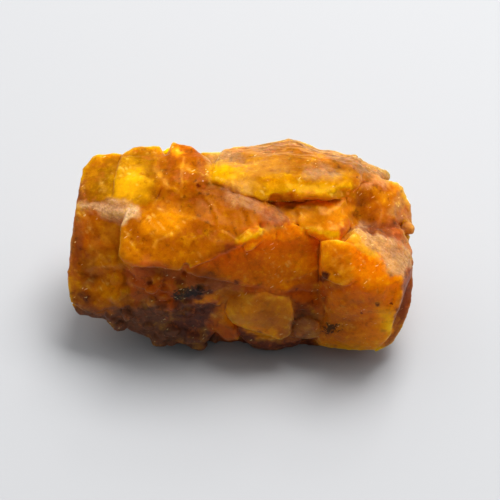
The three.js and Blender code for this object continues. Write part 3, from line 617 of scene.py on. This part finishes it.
def bodyTint(at):  # the mottled colour of the stone away from its face
    deep = np.array([noise.fractal(place, *corundum["bodyFractal"]) for place in at / corundum["bodyDrift"]])
    stops = corundum["bodyColours"]
    where = [stop for stop, _ in stops]
    return np.column_stack([np.interp(deep, where, [shade[part] for _, shade in stops]) for part in range(3)])


def shiftTint(tint, shade, share):  # moves tints towards a shade, by each corner's share
    tint += (np.array(colour(*shade)[:3]) - tint) * share[:, None]


def keepLayer(piece, name, kind, part, values):
    layer = piece.data.attributes.new(name, kind, "POINT")
    layer.data.foreach_set(part, values.ravel())


def paintZones(piece):  # keeps what the material reads at each corner, and raises the zones
    at = facePlaces(piece)
    standingOut = astray(at, at, "standing")[:, :2]
    tinted = astray(at, at, "tinted")[:, :2]
    crackGlintPlaces = astray(at, at, "crackGlintPlaces")[:, :2]
    shown = ramp(at[:, 2], *zoneDepth)
    tint = bodyTint(at)
    own = astray(readCorners(piece, "co"), at, "rind")
    solid = ramp(own[:, 2], *rind["height"]) * ramp(own[:, 0], *rind["reach"]) * rind["strength"]
    shiftTint(tint, palette[rind["tint"]], solid)
    clear = np.full(len(at), corundum["clearness"])
    frost = np.full(len(at), corundum["frost"])
    lift = np.zeros(len(at))
    for shade, soft, strength, clearness, frosted, height, outline in zones.values():
        share = inOutline(tinted, outline, soft) * strength * shown
        shiftTint(tint, palette[shade], share)
        frost += (frosted - frost) * share
        solid += ((shade in rind["tints"]) - solid) * share
        edge = min(soft, reliefEdge)
        lift += (height - lift) * inOutline(standingOut, outline, edge) * strength * shown
        if clearness is not None:
            clear += (clearness - clear) * share
    for shade, middle, radii, turned, soft, strength in spots.values():
        shiftTint(tint, shade, inEllipse(tinted, middle, radii, turned, soft) * strength * shown)
    # pale healed cracks, partly painted glints
    for first, second, width in strokes.values():
        share = ramp(awayFrom(crackGlintPlaces, first, second), width * crackGlint["reach"], 0) * crackGlint["strength"] * shown
        shiftTint(tint, crackGlint["tint"], share)
        clear *= 1 - share
    tint = 1 - (1 - tint) ** np.array(corundum["brightness"])
    keepLayer(piece, "tint", "FLOAT_COLOR", "color", np.column_stack([tint, np.ones(len(at))]))
    for name, values in (("clearness", clear), ("frost", frost), ("solid", solid)):
        keepLayer(piece, name, "FLOAT", "value", values)
    normals = readCorners(piece, "normal")
    lift *= ramp(normals @ np.array(outAxis), *reliefFacing)
    raised = readCorners(piece, "co") + np.array(outAxis) * lift[:, None] + normals * stone["swell"]
    moveCorners(piece, raised)
    addGroup(piece, "frosted", frost)


class Wire:  # a socket in a material, so that shader maths reads as Python
    def __init__(self, tree, socket=None):
        self.tree = tree
        self.socket = socket

    def add(self, kind, settings=None, inputs=None, output=0):
        node = self.tree.nodes.new(kind)
        for name, value in (settings or {}).items():
            setattr(node, name, value)
        for name, value in (inputs or {}).items():
            if isinstance(value, Wire):
                self.tree.links.new(value.socket, node.inputs[name])
            else:
                node.inputs[name].default_value = value
        return Wire(self.tree, node.outputs[output] if node.outputs else None)

    def maths(self, operation, first, second):
        return self.add("ShaderNodeMath", {"operation": operation}, {0: first, 1: second})

    def vectors(self, operation, inputs, output=0):
        return self.add("ShaderNodeVectorMath", {"operation": operation}, inputs, output)

    def __add__(self, other):
        return self.maths("ADD", self, other)

    def __radd__(self, other):
        return self.maths("ADD", other, self)

    def __sub__(self, other):
        return self.maths("SUBTRACT", self, other)

    def __rsub__(self, other):
        return self.maths("SUBTRACT", other, self)

    def __mul__(self, other):
        return self.maths("MULTIPLY", self, other)

    def __rmul__(self, other):
        return self.maths("MULTIPLY", other, self)

    def most(self, other):
        return self.maths("MAXIMUM", self, other)

    def between(self, low, high):  # a smooth rise from 0 at low to 1 at high
        settings = {"interpolation_type": "SMOOTHSTEP"}
        return self.add("ShaderNodeMapRange", settings, {"Value": self, "From Min": low, "From Max": high})

    def mix(self, factor, tint):  # this colour where factor is 0, a tint in screen values where it is 1
        inputs = {0: factor, 6: self, 7: colour(*tint)}
        return self.add("ShaderNodeMix", {"data_type": "RGBA"}, inputs, 2)

    def blend(self, factor, other):  # this shader where factor is 0, the other where it is 1
        return self.add("ShaderNodeMixShader", inputs={0: factor, 1: self, 2: other})

    def part(self, name):  # the Red, Green or Blue of this colour
        return self.add("ShaderNodeSeparateColor", inputs={"Color": self}, output=name)

    def layer(self, name, output="Fac"):  # what paintZones kept under that name
        return self.add("ShaderNodeAttribute", {"attribute_name": name}, output=output)

    def cells(self, scale, output):
        return self.add("ShaderNodeTexVoronoi", inputs={"Vector": self, "Scale": scale}, output=output)

    def noise(self, size, detail, roughness, output=0):
        inputs = {"Vector": self, "Scale": 1 / size, "Detail": detail, "Roughness": roughness}
        return self.add("ShaderNodeTexNoise", inputs=inputs, output=output)

    def mapped(self, location, rotation, scale):
        inputs = {"Vector": self, "Location": location, "Rotation": rotation, "Scale": scale}
        return self.add("ShaderNodeMapping", {"vector_type": "TEXTURE"}, inputs)

    def stretched(self, degrees, stretch):  # turned on the face and drawn out
        return self.mapped((0, 0, 0), (0, 0, math.radians(degrees)), stretch)

    def pattern(self, name):
        size, detail, roughness, *stretch = patterns[name]
        place = self.stretched(*stretch) if stretch else self
        return place.noise(size, detail, roughness)

    def shifted(self, noise, reach):  # a place pushed about by a noise's colour
        middled = self.vectors("SUBTRACT", {0: noise, 1: (0.5, 0.5, 0.5)})
        scaled = self.vectors("SCALE", {0: middled, "Scale": reach})
        return self.vectors("ADD", {0: self, 1: scaled})

    def pushed(self, name):
        size, detail, roughness, reach = pushes[name]
        return self.shifted(self.noise(size, detail, roughness, output=1), reach)

    def ball(self, middle, radii, soft):  # 1 inside an ellipsoid, 0 outside
        own = self.mapped(middle, (0, 0, 0), radii)
        return self.vectors("LENGTH", {0: own}, "Value").between(1 + soft, 1 - soft)

    def blob(self, middle, radii, degrees, soft):  # 1 inside a block with round corners, 0 outside
        own = self.mapped(middle, (0, 0, math.radians(degrees)), radii)
        square = self.vectors("MULTIPLY", {0: own, 1: own})
        fourth = self.vectors("DOT_PRODUCT", {0: square, 1: square}, "Value")
        return self.maths("POWER", fourth, 0.25).between(1 + soft, 1 - soft)


patterns = {  # noises: size in millimetres, detail and roughness, then any turn on the face and stretch
    "ridge": (1.3, 3, 0.5),
    "drift": (3.2, 4, 0.6),
    "mottle": (1.0, 4, 0.65),
    "grain": (0.28, 3, 0.7),
    "veil": (1.4, 5, 0.7, 24, (2.2, 0.8, 0.8)),
    "clump": (1.2, 5, 0.72),
    "streak": (1.0, 2, 0.5, -3, (5.0, 0.42, 0.42)),
    "dendrite": (0.7, 6, 0.75),
    "ragged": (0.8, 6, 0.8),
    "fibre": (0.6, 5, 0.7, -32, (2.6, 0.7, 0.7)),
    "paintedGlint": (3.0, 2, 0.5),
    "flake": (2.6, 3, 0.6),
    "worn": (1.6, 2, 0.5),
    "bump": (0.42, 4, 0.62),
    "glint": (2.4, 1, 0.5),
}

pushes = {  # noises that push places about: size in millimetres, detail, roughness and reach
    "loose": (0.8, 3, 0.6, 0.9),
    "speck": (0.5, 4, 0.7, 0.9),
    "paintedGlint": (0.5, 2, 0.5, 0.4),
    "flake": (0.7, 3, 0.6, 0.8),
}

edgeWearAndCreviceShade = {  # how sharp edges are where a tint fades in and is full, its strength, and the tint: paler worn ridges and painted shade in crevices
    "ridge": ((0.52, 0.62), 0.1, (232, 166, 104)),
    # painted shade: a darker tint in the crevices, where shade falls
    "crevice": ((0.5, 0.4), 0.65, (70, 32, 6)),
}
ridgeBroken = (0.35, 0.6)  # where a ridge is gone and where it is whole


def paintEdgeWearAndCreviceShade(body, own):  # paler worn ridges, and painted shade in the crevices
    point = body.add("ShaderNodeNewGeometry", output="Pointiness")
    for name, (fade, strength, tint) in edgeWearAndCreviceShade.items():
        share = point.between(*fade)
        if name == "ridge":
            share = share * own.pattern("ridge").between(*ridgeBroken)
        body = body.mix(share * strength, tint)
    return body


# Tints laid over the body colour in this order, by pattern: the values between which each fades in, where it
# shows unless it does everywhere, its strength, and the tint.
drifts = {
    "drift": [((0.52, 0.72), None, 0.3, (236, 160, 6)),
              ((0.48, 0.3), None, 0.28, (120, 50, 4))],
}
grains = {
    "mottle": [((0.5, 0.78), "pale", 0.45, (255, 190, 8)), ((0.5, 0.22), None, 0.5, (120, 44, 4))],
    "grain": [((0.54, 0.8), "pale", 0.25, (255, 196, 16)), ((0.46, 0.2), None, 0.25, (110, 40, 4))],
    "veil": [((0.56, 0.8), "pale", 0.35, (252, 190, 40))],
    "clump": [((0.52, 0.68), "brown", 0.5, (190, 96, 36)), ((0.47, 0.32), "brown", 0.7, (36, 12, 8))],
    # growth layers on the slab top, their pale streaks partly painted highlights
    "streak": [((0.46, 0.6), "slabBack", 0.25, (236, 180, 110))],
}
slabBack = ((8.8, 14.4, -8.0), (12.0, 1.6, 5.0), -4, 0.5)  # middle, radii, turn and softness


def masked(share, where, masks):
    return share if where is None else share * masks[where]


def layTints(body, own, layers, masks):
    for name, tints in layers.items():
        pattern = own.pattern(name)
        for fade, where, strength, tint in tints:
            body = body.mix(masked(pattern.between(*fade), where, masks) * strength, tint)
    return body


specks = {  # small dark red and black spots: place on the face and radius
    "lumpSpeck": ((-6.1, 8.7), 0.3),
    "blockSpeck": ((19.6, -8.4), 0.32),
    "blockDot": ((17.4, -9.7), 0.2),
    "edgeDot": ((21.7, -8.3), 0.18),
    "slabDot": ((16.4, 11.2), 0.18),
    "slabLowDot": ((16.8, 9.9), 0.16),
    "creviceSpeck": ((-0.6, -5.2), 0.4),
    "matrixSpeck": ((-13.2, -5.4), 0.45),
}

marks = {  # inside the stone
    "speckDepth": -5.0,  # millimetres, of a speck's middle
    "speckReach": 8.0,  # millimetres in and out
    "speckSoft": 0.6,
    "speckTint": (84, 8, 2),
    "thicket": ((13.0, -12.0, -8.0), (1.2, 0.9, 5.0), 0, 1.0),  # middle, radii, turn and softness
    "thicketGrowth": 0.3,  # how much more grows in its middle
    "thicketEdge": (0, 0.1),
    "dendrite": (0.68, 0.73),
    "mineral": ((-7.4, -6.7, -6.0), (2.8, 0.9, 9.0), 14, 0.35),
    "mineralGrowth": 0.22,
    "ragged": (0.64, 0.74),
    "strength": 0.9,
    "tint": (18, 9, 6),
}


def addMarks(body, own, loose):  # specks, dendrites and the dark mineral
    spotted = own.pushed("speck")
    dark = None
    for middle, radius in specks.values():
        radii = (radius, radius, marks["speckReach"])
        speck = spotted.ball((*middle, marks["speckDepth"]), radii, marks["speckSoft"])
        dark = dark.most(speck) if dark else speck
    body = body.mix(dark * marks["strength"], marks["speckTint"])
    thicket = loose.blob(*marks["thicket"])
    dendrites = thicket * marks["thicketGrowth"] + own.pattern("dendrite")
    dendrites = dendrites.between(*marks["dendrite"]) * thicket.between(*marks["thicketEdge"])
    mineral = loose.blob(*marks["mineral"])
    ragged = mineral * marks["mineralGrowth"] + own.pattern("ragged")
    ragged = ragged.between(*marks["ragged"]) * mineral
    return body.mix(dendrites.most(ragged) * marks["strength"], marks["tint"]), mineral


# the pale tint of frosted breaks, partly a painted sheen of the sky on them
frostAndSheen = {
    "fibre": (0.25, 0.75),
    "fibreStrength": 0.45,
    "strength": 0.25,  # between the fibres
    "tint": (238, 184, 126),
    "shade": (0.42, 0.28),
    "shadeStrength": 0.08,
    "shadeTint": (160, 84, 22),
}


def addFrostAndSheen(body, own, frost):
    fibres = own.pattern("fibre")
    pale = fibres.between(*frostAndSheen["fibre"]) * frostAndSheen["fibreStrength"] + frostAndSheen["strength"]
    body = body.mix(frost * pale, frostAndSheen["tint"])
    shade = frost * fibres.between(*frostAndSheen["shade"]) * frostAndSheen["shadeStrength"]
    return body.mix(shade, frostAndSheen["shadeTint"])


paintedGlintsAndFlakes = {
    "paintedGlint": {  # painted glints: small bright flecks, as if breaks inside the stone caught the light
        "stretch": (35, (2.4, 0.6, 0.6)),
        "scale": 1.3,
        "near": (0.24, 0.1),  # where it fades in and is whole
        "chance": (0.62, 0.66),  # which of them show
        "broken": (0.46, 0.58),
        "where": None,
        "strength": 0.5,
        "tint": (255, 220, 150),
    },
    "flake": {  # pale flakes in the yellow parts
        "stretch": (-50, (2.2, 0.8, 0.8)),
        "scale": 0.9,
        "near": (0.42, 0.1),
        "chance": None,
        "broken": (0.5, 0.62),
        "where": "pale",
        "strength": 0.3,
        "tint": (255, 214, 100),
    },
}


def addPaintedGlintsAndFlakes(body, own, masks):
    for name, fleck in paintedGlintsAndFlakes.items():
        at = own.pushed(name).stretched(*fleck["stretch"])
        share = at.cells(fleck["scale"], "Distance").between(*fleck["near"])
        if fleck["chance"]:
            share = share * at.cells(fleck["scale"], "Color").part("Green").between(*fleck["chance"])
        share = share * own.pattern(name).between(*fleck["broken"])
        body = body.mix(masked(share, fleck["where"], masks) * fleck["strength"], fleck["tint"])
    return body


def paintBody(body, own, loose, frost):  # the colour of the stone, and where the dark mineral is
    body = paintEdgeWearAndCreviceShade(body, own)
    body = layTints(body, own, drifts, {})
    pale = body.part("Green").between(*corundum["paleFrom"])
    masks = {"pale": pale, "brown": 1 - pale, "slabBack": loose.blob(*slabBack)}
    body = layTints(body, own, grains, masks)
    body, mineral = addMarks(body, own, loose)
    body = addFrostAndSheen(body, own, frost)
    return addPaintedGlintsAndFlakes(body, own, masks), mineral


surface = {
    "roughness": 0.38,
    "frostRoughness": 0.14,  # more where it is frosted
    "worn": (0.35, 0.7),
    "wornRoughness": 0.14,
    "facets": 5.0,  # to a millimetre
    "tilt": 0.02,  # how far facets lean
    "frostTilt": 0.7,
    "bumpStrength": 0.5,
    "bumpHeight": 0.0003,  # metres
    "bump": 0.2,
    "frostBump": 0.8,
}

glints = {
    "tilt": 1.6,
    "chance": (0.88, 0.92),
    "frost": 0.15,  # how bright they are where it is frosted, on the dark mineral and on the rest
    "mineral": 0.1,
    "stone": 0.12,
    "broken": (0.54, 0.72),
    "tint": (1, 0.9, 0.8, 1),
    "roughness": 0.2,
}


def leaning(facing, facets, reach):  # normals tilted by tiny facets
    tilted = facing.shifted(facets, reach)
    return tilted.vectors("NORMALIZE", {0: tilted})


def roughNormal(own, frost, facing, facets):
    return own.add("ShaderNodeBump", inputs={
        "Strength": surface["bumpStrength"],
        "Distance": surface["bumpHeight"],
        "Height": own.pattern("bump") * (frost * surface["frostBump"] + surface["bump"]),
        "Normal": leaning(facing, facets, frost * surface["frostTilt"] + surface["tilt"]),
    })


def addGlints(shader, own, frost, mineral, facing, facets):  # a few facets that mirror the lamp
    mirror = own.add("ShaderNodeBsdfGlossy", inputs={
        "Color": glints["tint"],
        "Roughness": glints["roughness"],
        "Normal": leaning(facing, facets, glints["tilt"]),
    })
    bright = own.pattern("glint").between(*glints["broken"]) * glints["stone"]
    bright = frost * glints["frost"] + mineral * glints["mineral"] + bright
    return shader.blend(facets.part("Blue").between(*glints["chance"]) * bright, mirror)


def paintCorundum(name):  # Cycles is sensitive to the order in which these nodes are made
    material = bpy.data.materials.new(name)
    material.use_nodes = True
    material.node_tree.nodes.clear()
    start = Wire(material.node_tree)
    place = start.add("ShaderNodeTexCoord", output="Object")
    origin = tuple(value / metre for value in face["middle"])
    own = place.mapped(origin, (turn, 0, 0), (1 / metre,) * 3)  # in millimetres on the broad face
    loose = own.pushed("loose")
    tint = start.layer("tint", "Color")
    clearness = start.layer("clearness")
    solid = start.layer("solid")
    frost = start.layer("frost")
    body, mineral = paintBody(tint, own, loose, frost)
    clearness = clearness * (1 - frost)
    worn = own.pattern("worn").between(*surface["worn"])
    rough = surface["roughness"] + frost * surface["frostRoughness"] + worn * surface["wornRoughness"]
    facets = own.cells(surface["facets"], "Color")
    facing = start.add("ShaderNodeNewGeometry", output="Normal")

    look = {
        "Base Color": body,
        "Roughness": rough,
        "IOR": corundum["index"],
        "Specular IOR Level": corundum["shine"],
        "Normal": roughNormal(own, frost, facing, facets),
    }
    shine = {"Specular Tint": corundum["shineTint"]}
    glow = {
        "Subsurface Weight": corundum["glowShare"],
        "Subsurface Radius": corundum["glow"],
        "Subsurface Scale": corundum["glowDepth"] / metre,
    }
    glass = {"Base Color": (1, 1, 1, 1), "Roughness": corundum["clearRoughness"], "Transmission Weight": 1.0}
    scattering = {"subsurface_method": "RANDOM_WALK"}
    cloudy = start.add("ShaderNodeBsdfPrincipled", scattering, {**look, **shine, **glow})
    clear = start.add("ShaderNodeBsdfPrincipled", inputs={**look, **shine, **glass})
    rock = start.add("ShaderNodeBsdfPrincipled", inputs=look)
    shader = cloudy.blend(clearness, clear).blend(solid, rock)
    shader = addGlints(shader, own, frost, mineral, facing, facets)
    inside = start.add("ShaderNodeVolumeAbsorption", inputs={
        "Color": corundum["insideColour"],
        "Density": corundum["insideDensity"],
    })
    start.add("ShaderNodeOutputMaterial", inputs={"Surface": shader, "Volume": inside})
    return material


setting = {
    "floorColour": (0.405, 0.407, 0.415, 1),
    "floorRoughness": 0.7,
    "floorSize": 3.0,
    "floorDrop": 0.00002,  # metres below the resting face
    "frontGlow": 0.2,  # the room in front of the stone
    "backGlow": 1.6,  # the sky behind it
    "skyFrom": (-0.3, 0.5),  # how far back one looks, where the room ends and where the sky is full
    "roomTint": (0.97, 0.985, 1.0, 1),
}

lamps = {  # place and size in metres, and power in watts
    "window": ((0.12, 0.235, 0.48), 0.28, 4.3),
    "glintLamp": ((0.12, 0.42, 0.36), 0.06, 0.2),
}

camera = {
    "distance": 450.0,  # millimetres from the face's middle
    "scale": 6.9,  # picture points to a millimetre, at the depth below
    "scaleDepth": -7.0,
    "picture": 500,  # points across the square picture
    "faceMiddle": (241, 246),  # where the face's middle falls in the picture
}


def makeFloor():
    bpy.ops.object.select_all(action="DESELECT")
    bpy.ops.mesh.primitive_plane_add(size=setting["floorSize"], location=(0, 0, -setting["floorDrop"]))
    floor = bpy.context.object
    floor.name = "floor"
    paint = bpy.data.materials.new("paleFloor")
    paint.use_nodes = True
    shader = paint.node_tree.nodes["Principled BSDF"]
    shader.inputs["Base Color"].default_value = setting["floorColour"]
    shader.inputs["Roughness"].default_value = setting["floorRoughness"]
    floor.data.materials.append(paint)


def makeLamp(name, place, size, power):
    bpy.ops.object.light_add(type="AREA", location=place)
    lamp = bpy.context.object
    lamp.name = name
    lamp.data.size = size
    lamp.data.energy = power
    lamp.rotation_euler = Vector(place).to_track_quat("Z", "Y").to_euler()
    return lamp


def makeLight():
    world = bpy.data.worlds.new("room")
    world.use_nodes = True
    world.node_tree.nodes.clear()
    start = Wire(world.node_tree)
    toward = start.add("ShaderNodeTexCoord", output="Generated")
    depth = start.add("ShaderNodeSeparateXYZ", inputs={"Vector": toward}, output="Y")
    rise = setting["backGlow"] - setting["frontGlow"]
    sky = start.add("ShaderNodeBackground", inputs={
        "Color": setting["roomTint"],
        "Strength": depth.between(*setting["skyFrom"]) * rise + setting["frontGlow"],
    })
    start.add("ShaderNodeOutputWorld", inputs={"Surface": sky})
    bpy.context.scene.world = world
    world.cycles_visibility.glossy = False  # a dark room, as far as reflections go
    window = makeLamp("window", *lamps["window"])
    window.visible_glossy = False
    makeLamp("glintLamp", *lamps["glintLamp"])


def makeCamera():
    half = camera["picture"] / 2
    across = (half - camera["faceMiddle"][0]) / camera["scale"]
    up = (camera["faceMiddle"][1] - half) / camera["scale"]
    bpy.ops.object.camera_add(location=standing(across, up, camera["distance"]))
    eye = bpy.context.object
    eye.rotation_euler = (turn, 0, 0)
    span = camera["picture"] / camera["scale"]
    eye.data.lens = eye.data.sensor_width * (camera["distance"] - camera["scaleDepth"]) / span
    bpy.context.scene.camera = eye
    bpy.context.scene.view_settings.view_transform = "Standard"


makeCamera()
makeLight()
makeFloor()
print("studio: camera, window, sky and floor")

sapphire = makeStone()
sapphire.data.materials.clear()
sapphire.data.materials.append(paintCorundum("corundum"))
print("corundum painted")
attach(sapphire, "root")
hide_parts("sapphire")
